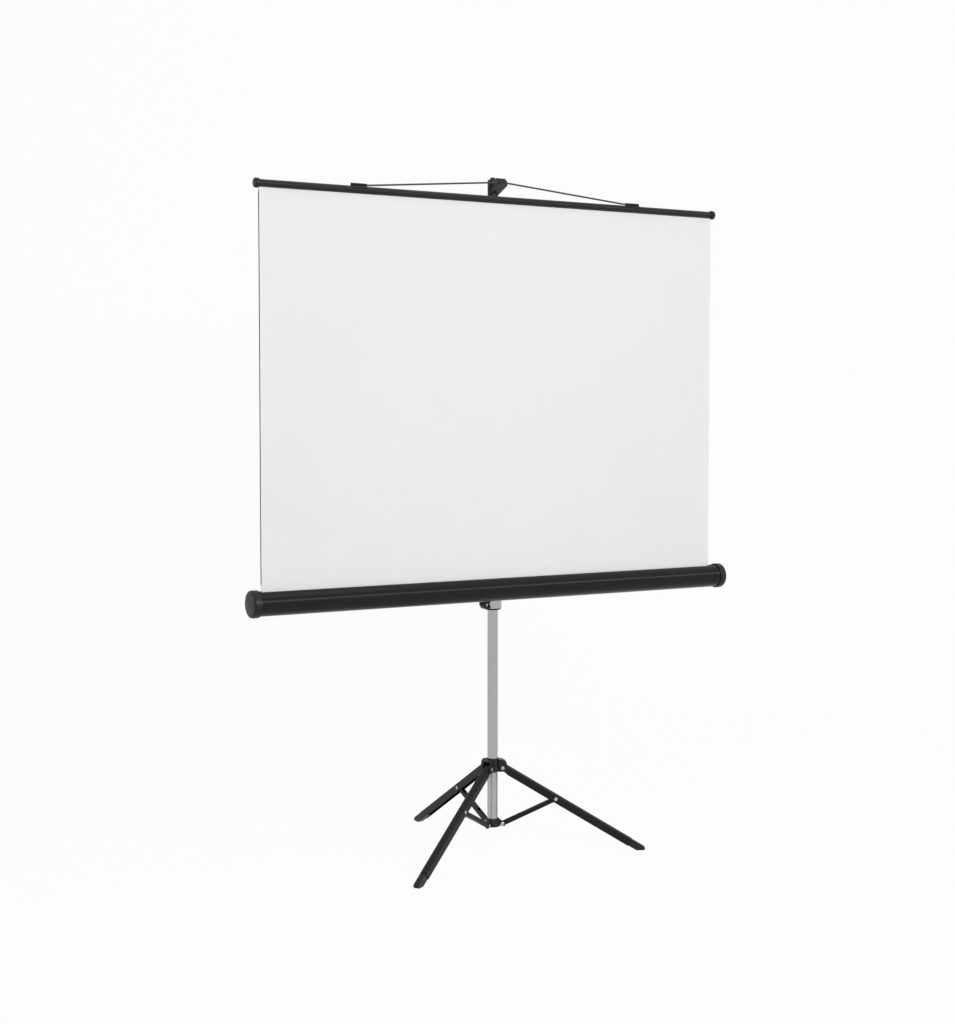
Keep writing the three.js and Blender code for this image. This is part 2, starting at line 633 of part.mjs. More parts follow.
// A boot plugged into the channel's end, cut flat where it stands on the floor.
function footBoot() {
  const floorBelow = (v) => (HUB_PIVOT_HEIGHT + v * Math.cos(LEG_SLOPE)) / Math.sin(LEG_SLOPE);
  const start = LEG_END + TOUCH_GAP;
  const top = LEG_ABOVE_PIVOTS - BOOT_INSET;
  const bottom = -LEG_BELOW_PIVOTS + BOOT_INSET;
  const end = LEG_TO_FLOOR + BOOT_PAST_FLOOR;
  const soleFront = (end * Math.sin(LEG_SLOPE) - HUB_PIVOT_HEIGHT) / Math.cos(LEG_SLOPE);
  const corner = Math.min(BOOT_ROUND, (top - soleFront) * 0.9);
  const outline = new THREE.Shape();
  outline.moveTo(start, bottom);
  outline.lineTo(floorBelow(bottom), bottom);
  outline.lineTo(end, soleFront);
  outline.lineTo(end, top - corner);
  outline.absarc(end - corner, top - corner, corner, 0, Math.PI / 2, false);
  outline.lineTo(start, top);
  const half = LEG_WIDTH / 2 - BOOT_INSET;
  const tongueHalf = LEG_WIDTH / 2 - LEG_WALL - TOUCH_GAP;
  const tongueTop = LEG_ABOVE_PIVOTS - LEG_CORNER;
  const tongue = rectangle(LEG_END - BOOT_TONGUE, start + 1, bottom, tongueTop);
  return crosswise(outline, -half, half, 4).add(crosswise(tongue, -tongueHalf, tongueHalf));
}

// A flat bar along +X from the leg's pivot at the origin, forked where it straddles the foot's lug.
function strutBar() {
  const round = STRUT_HEIGHT / 2;
  const outline = new THREE.Shape();
  outline.moveTo(0, -round);
  outline.lineTo(STRUT_LENGTH, -round);
  outline.absarc(STRUT_LENGTH, 0, round, -Math.PI / 2, Math.PI / 2, false);
  outline.lineTo(0, round);
  outline.absarc(0, 0, round, Math.PI / 2, Math.PI * 1.5, false);
  const slotHalf = LUG_THICKNESS / 2 + TOUCH_GAP;
  const slot = rectangle(STRUT_LENGTH - STRUT_FORK, STRUT_LENGTH + STRUT_HEIGHT, -STRUT_HEIGHT, STRUT_HEIGHT);
  const holes = [0, STRUT_LENGTH].map((along) =>
    crosswise(disc(RIVET_RADIUS + HOLE_GAP, along, 0), -STRUT_WIDTH, STRUT_WIDTH, 6),
  );
  const bar = crosswise(outline, -STRUT_WIDTH / 2, STRUT_WIDTH / 2, 4);
  return cut(bar, [crosswise(slot, -slotHalf, slotHalf), ...holes]);
}

// Carrier

function carrierBody() {
  const lipBottom = CLAMP_BOTTOM - TOUCH_GAP - CARRIER_LIP;
  const skirtTop = CLAMP_TOP + TOUCH_GAP;
  const outer = SLEEVE_BORE + CARRIER_WALL;
  const lipOuter = SLEEVE_BORE + CARRIER_LIP_WALL;
  const top = CASE_HEIGHT + CARRIER_ABOVE_PIVOT;
  const sleeve = solid(
    turned([
      [SLEEVE_BORE, lipBottom],
      [lipOuter - 1.5, lipBottom],
      [lipOuter, lipBottom + 1.5],
      [lipOuter, CLAMP_BOTTOM - TOUCH_GAP],
      [SKIRT_RADIUS, CLAMP_BOTTOM - TOUCH_GAP],
      [SKIRT_RADIUS, skirtTop],
      [outer, skirtTop],
      [outer, top - 1.5],
      [outer - 1.5, top],
      [SLEEVE_BORE, top],
    ]),
  );
  const boss = crosswise(disc(BOSS_RADIUS, 0, CASE_HEIGHT), BOSS_FRONT, 0, 12);
  const bore = upright(disc(SLEEVE_BORE), lipBottom - 1, top + 1, 14);
  const across = 2 * CLAMP_RADIUS;
  const pivotHole = crosswise(disc(PIVOT_RIVET_RADIUS + HOLE_GAP, 0, CASE_HEIGHT), -across, 0, 8);
  const recess = crosswise(disc(PIVOT_HEAD_RADIUS + HOLE_GAP, 0, CASE_HEIGHT), recessFloor(), 0, 8);
  const slit = upright(
    rectangle(-across, 0, -CARRIER_SLIT / 2, CARRIER_SLIT / 2),
    lipBottom - 1,
    skirtTop,
  );
  return cut(sleeve.add(boss), [bore, pivotHole, recess, slit]);
}

// Floor of the recess in the carrier that hides the pivot rivet's rear head.
function recessFloor() {
  return -(SLEEVE_BORE + PIVOT_HEAD + TOUCH_GAP);
}

function clampRing() {
  const band = upright(ring(CLAMP_RADIUS, CLAMP_BORE), CLAMP_BOTTOM, CLAMP_TOP, 14);
  const earStart = -(CLAMP_BORE + CLAMP_WALL / 2);
  const ears = upright(rectangle(EAR_END, earStart, EAR_FRONT, -EAR_FRONT), CLAMP_BOTTOM, CLAMP_TOP);
  const split = upright(
    rectangle(EAR_END - 1, 0, -CLAMP_SPLIT / 2, CLAMP_SPLIT / 2),
    CLAMP_BOTTOM - 1,
    CLAMP_TOP + 1,
  );
  const boltHole = crosswise(
    disc(CLAMP_BOLT_RADIUS + HOLE_GAP, CLAMP_BOLT_X, CLAMP_MIDDLE),
    EAR_FRONT - 1,
    1 - EAR_FRONT,
    6,
  );
  return cut(band.add(ears), [split, boltHole]);
}

function clampBolt() {
  const [low, high] = [CLAMP_MIDDLE - CLAMP_EYE_HEIGHT / 2, CLAMP_MIDDLE + CLAMP_EYE_HEIGHT / 2];
  const eye = upright(disc(CLAMP_EYE_RADIUS, CLAMP_BOLT_X, LEVER_PIN_Y), low, high, 7);
  const shankEnd = -EAR_FRONT + TOUCH_GAP + CLAMP_NUT_DEPTH + 1;
  const shank = crosswise(disc(CLAMP_BOLT_RADIUS, CLAMP_BOLT_X, CLAMP_MIDDLE), LEVER_PIN_Y, shankEnd, 6);
  const hole = upright(disc(LEVER_PIN_RADIUS + HOLE_GAP, CLAMP_BOLT_X, LEVER_PIN_Y), low - 1, high + 1, 6);
  return cut(eye.add(shank), [hole]);
}

function clampNut() {
  const sides = 6;
  const corners = Array.from({ length: sides }, (_, i) => {
    const angle = (FULL_TURN * i) / sides;
    return [
      CLAMP_BOLT_X + CLAMP_NUT_RADIUS * Math.cos(angle),
      CLAMP_MIDDLE + CLAMP_NUT_RADIUS * Math.sin(angle),
    ];
  });
  const back = -EAR_FRONT + TOUCH_GAP;
  const bore = disc(CLAMP_BOLT_RADIUS + HOLE_GAP, CLAMP_BOLT_X, CLAMP_MIDDLE);
  const nut = crosswise(polygon(corners), back, back + CLAMP_NUT_DEPTH);
  return cut(nut, [crosswise(bore, back - 1, back + CLAMP_NUT_DEPTH + 1, 6)]);
}

function leverPin() {
  const shape = disc(LEVER_PIN_RADIUS, CLAMP_BOLT_X, LEVER_PIN_Y);
  return upright(shape, CLAMP_BOTTOM - LEVER_PIN_PROUD, CLAMP_TOP + LEVER_PIN_PROUD, 6);
}

// A cam and a tip, joined by straight flanks that touch both, and thinner in height at the tip.
function heightLever() {
  const lean = Math.asin((LEVER_CAM_RADIUS - LEVER_TIP_RADIUS) / LEVER_REACH);
  const outline = new THREE.Shape();
  outline.absarc(0, 0, LEVER_CAM_RADIUS, Math.PI / 2 - lean, Math.PI * 1.5 + lean, false);
  outline.absarc(LEVER_REACH, 0, LEVER_TIP_RADIUS, -Math.PI / 2 + lean, Math.PI / 2 - lean, false);
  const [heel, tip] = [-LEVER_CAM_RADIUS - 1, LEVER_REACH + LEVER_TIP_RADIUS];
  const profile = polygon([
    [heel, CLAMP_BOTTOM],
    [LEVER_CAM_RADIUS / 2, CLAMP_BOTTOM],
    [tip, CLAMP_TOP - LEVER_TIP_HEIGHT],
    [tip, CLAMP_TOP],
    [heel, CLAMP_TOP],
  ]);
  const plan = upright(outline, CLAMP_BOTTOM - 1, CLAMP_TOP + 1, 6);
  const plate = plan.intersect(crosswise(profile, heel, -heel));
  const pinHole = upright(disc(LEVER_PIN_RADIUS + HOLE_GAP), CLAMP_BOTTOM - 1, CLAMP_TOP + 1, 6);
  const eyeRoom = upright(
    disc(LEVER_CAM_RADIUS + TOUCH_GAP),
    CLAMP_MIDDLE - CLAMP_EYE_HEIGHT / 2 - TOUCH_GAP,
    CLAMP_MIDDLE + CLAMP_EYE_HEIGHT / 2 + TOUCH_GAP,
    8,
  );
  return cut(plate, [pinHole, eyeRoom])
    .rotate([0, 0, LEVER_ANGLE])
    .translate([CLAMP_BOLT_X, LEVER_PIN_Y, 0]);
}

// Height above the case's axis at a distance to its side, on a round wall.
function wallHeight(radius, aside) {
  return Math.sqrt(radius * radius - aside * aside);
}

function casePivotRivet() {
  const front = CASE_Y + wallHeight(CASE_BORE, PIVOT_HEAD_RADIUS) - TOUCH_GAP;
  const back = recessFloor() + TOUCH_GAP;
  const profile = [
    [0, -back - PIVOT_HEAD + TOUCH_GAP],
    [PIVOT_HEAD_RADIUS, -back - PIVOT_HEAD + TOUCH_GAP],
    [PIVOT_HEAD_RADIUS, -back],
    [PIVOT_RIVET_RADIUS, -back],
    [PIVOT_RIVET_RADIUS, -front],
    [PIVOT_HEAD_RADIUS, -front],
    [PIVOT_HEAD_RADIUS, -front + PIVOT_HEAD],
    [0, -front + PIVOT_HEAD],
  ];
  return solid(turned(profile, 20).rotateX(Math.PI / 2)).translate([0, 0, CASE_HEIGHT]);
}

function pivotWasher() {
  const shape = ring(WASHER_RADIUS, PIVOT_RIVET_RADIUS + HOLE_GAP);
  return crosswise(shape, WASHER_BACK - WASHER_THICKNESS, WASHER_BACK, 10).translate([0, 0, CASE_HEIGHT]);
}

// Case

function saddleRivetPlaces() {
  const along = SADDLE_LENGTH / 2 - SADDLE_RIVET_FROM_END;
  return [-along, along];
}

function saddleRivetHoles() {
  return saddleRivetPlaces().map((x) =>
    crosswise(disc(SADDLE_RIVET_RADIUS + HOLE_GAP, x, CASE_HEIGHT), CASE_Y, 0, 6),
  );
}

function pivotHoleInCase() {
  return crosswise(disc(PIVOT_RIVET_RADIUS + HOLE_GAP, 0, CASE_HEIGHT), CASE_Y, 0, 8);
}

function caseTube() {
  const tube = lengthwise(ring(CASE_RADIUS, CASE_BORE), CASE_LEFT, CASE_RIGHT, 22);
  const slot = lengthwise(
    rectangle(-FABRIC_IN_FRONT - CASE_SLOT / 2, -FABRIC_IN_FRONT + CASE_SLOT / 2, 0, CASE_RADIUS + 1),
    CASE_LEFT - 1,
    CASE_RIGHT + 1,
  );
  const placed = tube.subtract(slot).translate([0, CASE_Y, CASE_HEIGHT]);
  return cut(placed, [pivotHoleInCase(), ...saddleRivetHoles()]);
}

// A cup over the tube's end, turned about +Z with its mouth down at the origin, and the boss inside
// it that holds the roller's end.
function endCap(holeRadius, tilt, x) {
  const bore = CASE_RADIUS + TOUCH_GAP;
  const outer = bore + CAP_WALL;
  const seat = CAP_SKIRT + TOUCH_GAP;
  const end = seat + CAP_END;
  const cup = solid(
    turned(
      [
        [0, seat],
        [bore, seat],
        [bore, 0],
        [outer - 1, 0],
        [outer, 1],
        ...round(outer - CAP_ROUND, end - CAP_ROUND, CAP_ROUND, 0, 90),
        [0, end],
      ],
      36,
    ),
  );
  const bossFoot = seat - CAP_BOSS_LENGTH;
  const boss = upright(disc(CAP_BOSS_RADIUS), bossFoot, seat + 1, 10);
  const hole = upright(disc(holeRadius + HOLE_GAP), bossFoot - 1, seat, 8);
  const offset = ROLLER_Y - CASE_Y;
  const placedBoss = cut(boss, [hole]).translate([0, offset, 0]);
  const cupHole = upright(disc(holeRadius + HOLE_GAP), seat - 1, seat, 8).translate([0, offset, 0]);
  const drilled = cup.subtract(cupHole);
  return drilled.add(placedBoss).rotate([0, tilt, 0]).translate([x, CASE_Y, CASE_HEIGHT]);
}

function caseSaddle() {
  const half = THREE.MathUtils.degToRad(SADDLE_HALF_ANGLE);
  const inner = CASE_RADIUS + TOUCH_GAP;
  const outer = inner + SADDLE_THICKNESS;
  const band = new THREE.Shape();
  band.absarc(0, 0, outer, -half, half, false);
  band.absarc(0, 0, inner, half, -half, true);
  const curved = lengthwise(band, -SADDLE_LENGTH / 2, SADDLE_LENGTH / 2, 6);
  const placed = curved.translate([0, CASE_Y, CASE_HEIGHT]);
  const padRound = disc(SADDLE_PAD_RADIUS, 0, CASE_HEIGHT);
  const pad = crosswise(padRound, CASE_Y, SADDLE_BACK, 12);
  const caseRoom = lengthwise(disc(inner, CASE_Y, CASE_HEIGHT), -SADDLE_LENGTH, SADDLE_LENGTH, 22);
  return cut(placed.add(pad), [caseRoom, pivotHoleInCase(), ...saddleRivetHoles()]);
}

function saddleRivet(x) {
  const front = CASE_Y + wallHeight(CASE_BORE, SADDLE_RIVET_HEAD_RADIUS);
  const back = CASE_Y + CASE_RADIUS + TOUCH_GAP + SADDLE_THICKNESS;
  const body = rivet(SADDLE_RIVET_RADIUS, SADDLE_RIVET_HEAD_RADIUS, STRUT_RIVET_HEAD, back - front);
  return body.translate([x, (front + back) / 2, CASE_HEIGHT]);
}

function shaftEnd() {
  return CASE_RIGHT - TOUCH_GAP;
}

function springShaft() {
  const rod = lengthwise(disc(SHAFT_RADIUS), shaftEnd() - SHAFT_LENGTH, shaftEnd(), 7);
  return rod.translate([0, ROLLER_Y, CASE_HEIGHT]);
}

function springPoints() {
  const stepsPerCurl = 8;
  const start = ROLLER_RIGHT - ROLLER_PLUG_LENGTH - SPRING_FROM_PLUG - SPRING_CURLS * SPRING_PITCH;
  return Array.from({ length: SPRING_CURLS * stepsPerCurl + 1 }, (_, i) => {
    const angle = (FULL_TURN * i) / stepsPerCurl;
    const x = start + (SPRING_PITCH * i) / stepsPerCurl;
    const y = ROLLER_Y + SPRING_RADIUS * Math.cos(angle);
    return new THREE.Vector3(x, y, CASE_HEIGHT + SPRING_RADIUS * Math.sin(angle));
  });
}

function rollerSpring() {
  const points = springPoints();
  console.log("roller spring, least gap in mm:", leastGap(points, SPRING_WIRE_RADIUS, 4).toFixed(2));
  return wire(points, SPRING_WIRE_RADIUS, 5);
}

// The flat drawn-out sheet, from just above the roll to just under the rod in the bar.
function screenFabric() {
  const bottom = CASE_HEIGHT + wallHeight(ROLL_OUTER, ROLL_OUTER - FABRIC_THICKNESS) + TOUCH_GAP;
  const top = BAR_HEIGHT - ROD_RADIUS - TOUCH_GAP;
  const sheet = rectangle(
    FABRIC_LEFT,
    FABRIC_RIGHT,
    FABRIC_Y - FABRIC_THICKNESS / 2,
    FABRIC_Y + FABRIC_THICKNESS / 2,
  );
  return upright(sheet, bottom, top);
}

function rollerTube() {
  const tube = lengthwise(ring(ROLLER_RADIUS, ROLLER_RADIUS - ROLLER_WALL), ROLLER_LEFT, ROLLER_RIGHT, 12);
  return tube.translate([0, ROLLER_Y, CASE_HEIGHT]);
}

function plugRadius() {
  return ROLLER_RADIUS - ROLLER_WALL - TOUCH_GAP;
}

// The pin end: a plug whose pin turns in the left cap's boss.
function rollerPlugLeft() {
  const body = lengthwise(disc(plugRadius()), ROLLER_LEFT, ROLLER_LEFT + ROLLER_PLUG_LENGTH, 10);
  const pin = lengthwise(disc(SHAFT_RADIUS), CASE_LEFT + TOUCH_GAP, ROLLER_LEFT + 1, 7);
  return body.add(pin).translate([0, ROLLER_Y, CASE_HEIGHT]);
}

// The spring end: a bush that turns on the fixed spring shaft.
function rollerPlugRight() {
  const bush = ring(plugRadius(), SHAFT_RADIUS + HOLE_GAP);
  const plug = lengthwise(bush, ROLLER_RIGHT - ROLLER_PLUG_LENGTH, ROLLER_RIGHT, 10);
  return plug.translate([0, ROLLER_Y, CASE_HEIGHT]);
}

// The turns of fabric left on the roller, as one spiral strip.
function fabricRoll() {
  const stepsPerTurn = 22;
  const steps = ROLL_TURNS * stepsPerTurn;
  const spiral = (extra) =>
    Array.from({ length: steps + 1 }, (_, i) => {
      const angle = (FULL_TURN * i) / stepsPerTurn;
      const radius = ROLL_INNER + (ROLL_PITCH * i) / stepsPerTurn + extra;
      return [radius * Math.cos(angle), radius * Math.sin(angle)];
    });
  const strip = polygon([...spiral(FABRIC_THICKNESS), ...spiral(0).reverse()]);
  return lengthwise(strip, FABRIC_LEFT, FABRIC_RIGHT).translate([0, ROLLER_Y, CASE_HEIGHT]);
}

// Top bar

function topBar() {
  const tube = lengthwise(ring(BAR_RADIUS, BAR_BORE), BAR_LEFT, BAR_RIGHT, 12);
  const slot = lengthwise(
    rectangle(-BAR_SLOT / 2, BAR_SLOT / 2, -BAR_RADIUS - 1, 0),
    BAR_LEFT - 1,
    BAR_RIGHT + 1,
  );
  return tube.subtract(slot).translate([0, FABRIC_Y, BAR_HEIGHT]);
}

function fabricRod() {
  return lengthwise(disc(ROD_RADIUS), FABRIC_LEFT, FABRIC_RIGHT, 6).translate([0, FABRIC_Y, BAR_HEIGHT]);
}

// A cap over the bar's end with a plug inside it, turned about +Z with its mouth down.
function barCap(tilt, x) {
  const bore = BAR_RADIUS + TOUCH_GAP;
  const outer = bore + BAR_CAP_WALL;
  const seat = BAR_CAP_SKIRT + TOUCH_GAP;
  const end = seat + BAR_CAP_END;
  const plug = BAR_BORE - TOUCH_GAP;
  const cap = solid(
    turned(
      [
        [0, TOUCH_GAP],
        [plug, TOUCH_GAP],
        [plug, seat],
        [bore, seat],
        [bore, 0],
        [outer, 0],
        ...round(outer - BAR_CAP_ROUND, end - BAR_CAP_ROUND, BAR_CAP_ROUND, 0, 90),
        [0, end],
      ],
      24,
    ),
  );
  return cap.rotate([0, tilt, 0]).translate([x, FABRIC_Y, BAR_HEIGHT]);
}

// A saddle over the bar with an eye along its crown for the bail's end.
function bailClip(x) {
  const half = THREE.MathUtils.degToRad(CLIP_HALF_ANGLE);
  const inner = BAR_RADIUS + TOUCH_GAP;
  const outer = inner + CLIP_WALL;
  const band = new THREE.Shape();
  band.absarc(0, 0, outer, Math.PI / 2 - half, Math.PI / 2 + half, false);
  band.absarc(0, 0, inner, Math.PI / 2 + half, Math.PI / 2 - half, true);
  const start = x - CLIP_LENGTH / 2;
  const end = x + CLIP_LENGTH / 2;
  const saddle = lengthwise(band, start, end, 6).translate([0, FABRIC_Y, BAR_HEIGHT]);
  const eyeBore = BAIL_WIRE_RADIUS + HOLE_GAP;
  const eye = lengthwise(disc(eyeBore + CLIP_EYE_WALL, FABRIC_Y, BAIL_PIVOT_HEIGHT), start, end, 8);
  const bore = lengthwise(disc(eyeBore, FABRIC_Y, BAIL_PIVOT_HEIGHT), start - 1, end + 1, 8);
  const barRoom = lengthwise(disc(inner, FABRIC_Y, BAR_HEIGHT), start - 1, end + 1, 12);
  return cut(saddle.add(eye), [bore, barRoom]);
}

// Points round a bend between two straight stretches.
function bend(before, corner, after, radius) {
  const start = corner.clone().add(before.clone().sub(corner).setLength(radius));
  const end = corner.clone().add(after.clone().sub(corner).setLength(radius));
  return new THREE.QuadraticBezierCurve3(start, corner, end).getPoints(5);
}

// Half of the bail, from its end in a clip to the middle of the hook. Side is -1 left, 1 right.
function bailHalf(side) {
  const mouthX = FABRIC_X + side * (CLIP_FROM_MIDDLE - CLIP_LENGTH / 2);
  const cornerX = mouthX - side * (BAIL_BEND + TOUCH_GAP);
  const end = new THREE.Vector3(mouthX + side * BAIL_END, FABRIC_Y, BAIL_PIVOT_HEIGHT);
  const corner = new THREE.Vector3(cornerX, FABRIC_Y, BAIL_PIVOT_HEIGHT);
  const crown = new THREE.Vector3(side * BAIL_CROWN, NOTCH_Y, BAIL_CROWN_HEIGHT);
  const middle = new THREE.Vector3(0, NOTCH_Y, BAIL_CROWN_HEIGHT);
  return [end, ...bend(end, corner, crown, BAIL_BEND), ...bend(corner, crown, middle, BAIL_BEND)];
}

// Spring wire from clip to clip, straight up to the hook and level across it.
function bailWire() {
  return wire([...bailHalf(-1), ...bailHalf(1).reverse()], BAIL_WIRE_RADIUS, 8);
}

// Mast

function mastTube() {
  return upright(ring(MAST_RADIUS, MAST_RADIUS - MAST_WALL), MAST_BOTTOM, MAST_TOP, 14);
}

// A turned cap on the mast with a hook in front of it, deep at the root, and a notch for the bail.
function mastHead() {
  const socket = MAST_RADIUS + TOUCH_GAP;
  const seat = MAST_TOP + TOUCH_GAP;
  const cap = solid(
    turned(
      [
        [0, seat],
        [socket, seat],
        [socket, HEAD_BOTTOM],
        [HEAD_RADIUS, HEAD_BOTTOM],
        ...round(HEAD_RADIUS - HEAD_ROUND, HEAD_TOP - HEAD_ROUND, HEAD_ROUND, 0, 90),
        [HEAD_BUTTON_RADIUS, HEAD_TOP],
        [HEAD_BUTTON_RADIUS, HEAD_TOP + HEAD_BUTTON],
        [0, HEAD_TOP + HEAD_BUTTON],
      ],
      24,
    ),
  );
  const [tip, root] = [-HOOK_REACH, -HEAD_RADIUS / 2];
  const side = new THREE.Shape();
  side.moveTo(root, HOOK_TOP);
  side.absarc(tip + HOOK_ROUND, HOOK_TOP - HOOK_ROUND, HOOK_ROUND, Math.PI / 2, Math.PI, false);
  side.lineTo(tip, HOOK_TOP - HOOK_DEPTH);
  side.lineTo(root, HOOK_TOP - HOOK_DEPTH - HOOK_ROOT_DROP);
  const nose = lengthwise(side, -HOOK_WIDTH / 2, HOOK_WIDTH / 2, 6);
  const notchSide = new THREE.Shape();
  notchSide.moveTo(NOTCH_Y + NOTCH_WIDTH / 2, HOOK_TOP + 1);
  notchSide.lineTo(NOTCH_Y + NOTCH_WIDTH / 2, NOTCH_FLOOR + NOTCH_WIDTH / 2);
  notchSide.absarc(NOTCH_Y, NOTCH_FLOOR + NOTCH_WIDTH / 2, NOTCH_WIDTH / 2, 0, -Math.PI, true);
  notchSide.lineTo(NOTCH_Y - NOTCH_WIDTH / 2, HOOK_TOP + 1);
  const notch = lengthwise(notchSide, -HOOK_WIDTH / 2 - 1, HOOK_WIDTH / 2 + 1, 5);
  const mastRoom = upright(disc(socket), HEAD_BOTTOM - 1, seat, 14);
  return cut(cap.add(nose), [mastRoom, notch]);
}

function mastPlug() {
  const spigot = MAST_RADIUS - MAST_WALL - TOUCH_GAP;
  const shoulder = MAST_BOTTOM - TOUCH_GAP;
  const flange = COLUMN_BORE - TOUCH_GAP;
  return solid(
    turned([
      [0, shoulder - MAST_PLUG_FLANGE],
      [flange - 1, shoulder - MAST_PLUG_FLANGE],
      [flange, shoulder - MAST_PLUG_FLANGE + 1],
      [flange, shoulder],
      [spigot, shoulder],
      [spigot, shoulder + MAST_PLUG_SPIGOT],
      [0, shoulder + MAST_PLUG_SPIGOT],
    ]),
  );
}

// A lobed thumb knob on a screw that presses on the mast.
function mastKnob() {
  const steps = KNOB_LOBES * 6;
  const edge = Array.from({ length: steps }, (_, i) => {
    const angle = (FULL_TURN * i) / steps;
    const radius = KNOB_RADIUS - KNOB_LOBE_DEPTH * (0.5 - 0.5 * Math.cos(KNOB_LOBES * angle));
    return [radius * Math.cos(angle), radius * Math.sin(angle)];
  });
  const grip = crosswise(polygon(edge), KNOB_FRONT, KNOB_FRONT + KNOB_DEPTH);
  const screw = crosswise(disc(KNOB_SCREW_RADIUS), MAST_RADIUS + TOUCH_GAP, KNOB_FRONT + 1, 6);
  return grip.add(screw).translate([0, 0, KNOB_HEIGHT]);
}

// Assembly

const screen = new THREE.Group();

function piece(parent, name, body, finish) {
  const mesh = new THREE.Mesh(geometryOf(body), new THREE.MeshStandardMaterial(finish));
  mesh.name = name;
  parent.add(mesh);
  return mesh;
}

piece(screen, "column_tube", columnTube(), CHROME);
piece(screen, "column_foot", columnFoot(), BLACK_PLASTIC);
piece(screen, "hub_stop_pin", hubStopPin(), BRIGHT_STEEL);
piece(screen, "mast_guide", mastGuide(), BLACK_PLASTIC);
piece(screen, "tripod_hub", tripodHub(), BLACK_PLASTIC);
piece(screen, "hub_screw", hubScrew(), BLACK_WIRE);

legAzimuths().forEach((azimuth, i) => {
  const name = LEG_NAMES[i] ?? String(i + 1);
  const side = new THREE.Group();
  side.rotation.z = THREE.MathUtils.degToRad(azimuth);
  screen.add(side);
  const leg = new THREE.Group();
  leg.position.set(PIVOT_RADIUS, 0, HUB_PIVOT_HEIGHT);
  leg.rotation.y = LEG_SLOPE;
  side.add(leg);
  const armWidth = LEG_WIDTH + 2 * (TOUCH_GAP + HUB_CHEEK);
  piece(leg, `leg_rivet_${name}`, rivet(RIVET_RADIUS, RIVET_HEAD_RADIUS, RIVET_HEAD, armWidth), BRIGHT_STEEL);
  piece(leg, `leg_${name}`, legChannel(), BLACK_PAINT);
  piece(leg, `foot_${name}`, footBoot(), BLACK_PLASTIC);
  const strut = new THREE.Group();
  strut.position.x = STRUT_PIVOT_ALONG;
  strut.rotation.y = STRUT_TURN;
  leg.add(strut);
  const strutRivet = rivet(RIVET_RADIUS, RIVET_HEAD_RADIUS, RIVET_HEAD, LEG_WIDTH);
  piece(strut, `strut_rivet_${name}`, strutRivet, BRIGHT_STEEL);
  piece(strut, `strut_${name}`, strutBar(), BLACK_PAINT);
  const footRivet = rivet(RIVET_RADIUS, RIVET_HEAD_RADIUS, STRUT_RIVET_HEAD, STRUT_WIDTH);
  piece(strut, `strut_foot_rivet_${name}`, footRivet, BRIGHT_STEEL).position.x = STRUT_LENGTH;
});

piece(screen, "carrier_body", carrierBody(), BLACK_PLASTIC);
piece(screen, "clamp_ring", clampRing(), BRIGHT_STEEL);
piece(screen, "clamp_bolt", clampBolt(), BRIGHT_STEEL);
piece(screen, "clamp_nut", clampNut(), BRIGHT_STEEL);
piece(screen, "lever_pin", leverPin(), BRIGHT_STEEL);
piece(screen, "height_lever", heightLever(), BLACK_PLASTIC);
piece(screen, "case_pivot_rivet", casePivotRivet(), BRIGHT_STEEL);
piece(screen, "pivot_washer", pivotWasher(), BRIGHT_STEEL);

piece(screen, "case_tube", caseTube(), BLACK_PAINT);
piece(screen, "end_cap_left", endCap(SHAFT_RADIUS, -90, CASE_LEFT + CAP_SKIRT), BLACK_PLASTIC);
piece(screen, "end_cap_right", endCap(SHAFT_RADIUS, 90, CASE_RIGHT - CAP_SKIRT), BLACK_PLASTIC);
piece(screen, "case_saddle", caseSaddle(), BLACK_PAINT);
saddleRivetPlaces().forEach((x) => {
  piece(screen, x < 0 ? "saddle_rivet_left" : "saddle_rivet_right", saddleRivet(x), BRIGHT_STEEL);
});
piece(screen, "spring_shaft", springShaft(), BRIGHT_STEEL);
piece(screen, "roller_spring", rollerSpring(), BRIGHT_STEEL);
piece(screen, "roller_tube", rollerTube(), BRIGHT_STEEL);
piece(screen, "roller_plug_left", rollerPlugLeft(), BLACK_PLASTIC);
piece(screen, "roller_plug_right", rollerPlugRight(), BLACK_PLASTIC);
piece(screen, "fabric_roll", fabricRoll(), WHITE_FABRIC);
piece(screen, "screen_fabric", screenFabric(), WHITE_FABRIC);

piece(screen, "top_bar", topBar(), BLACK_PAINT);
piece(screen, "fabric_rod", fabricRod(), BRIGHT_STEEL);
piece(screen, "bar_cap_left", barCap(-90, BAR_CAP_LEFT), BLACK_PLASTIC);
piece(screen, "bar_cap_right", barCap(90, BAR_CAP_RIGHT), BLACK_PLASTIC);
piece(screen, "bail_clip_left", bailClip(FABRIC_X - CLIP_FROM_MIDDLE), BLACK_PAINT);
piece(screen, "bail_clip_right", bailClip(FABRIC_X + CLIP_FROM_MIDDLE), BLACK_PAINT);
piece(screen, "bail_wire", bailWire(), BLACK_WIRE);

piece(screen, "mast_tube", mastTube(), CHROME);
piece(screen, "mast_head", mastHead(), BLACK_PLASTIC);
piece(screen, "mast_plug", mastPlug(), BLACK_PLASTIC);
piece(screen, "mast_knob", mastKnob(), BLACK_PLASTIC);

// The origin is under the middle of the whole object, on the floor.
const extent = new THREE.Box3().setFromObject(screen, true);
const middle = extent.getCenter(new THREE.Vector3());
screen.position.set(-middle.x, -middle.y, -extent.min.z);

const tripodScreen = new THREE.Group();
tripodScreen.add(screen);

export default tripodScreen;
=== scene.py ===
import json
import math

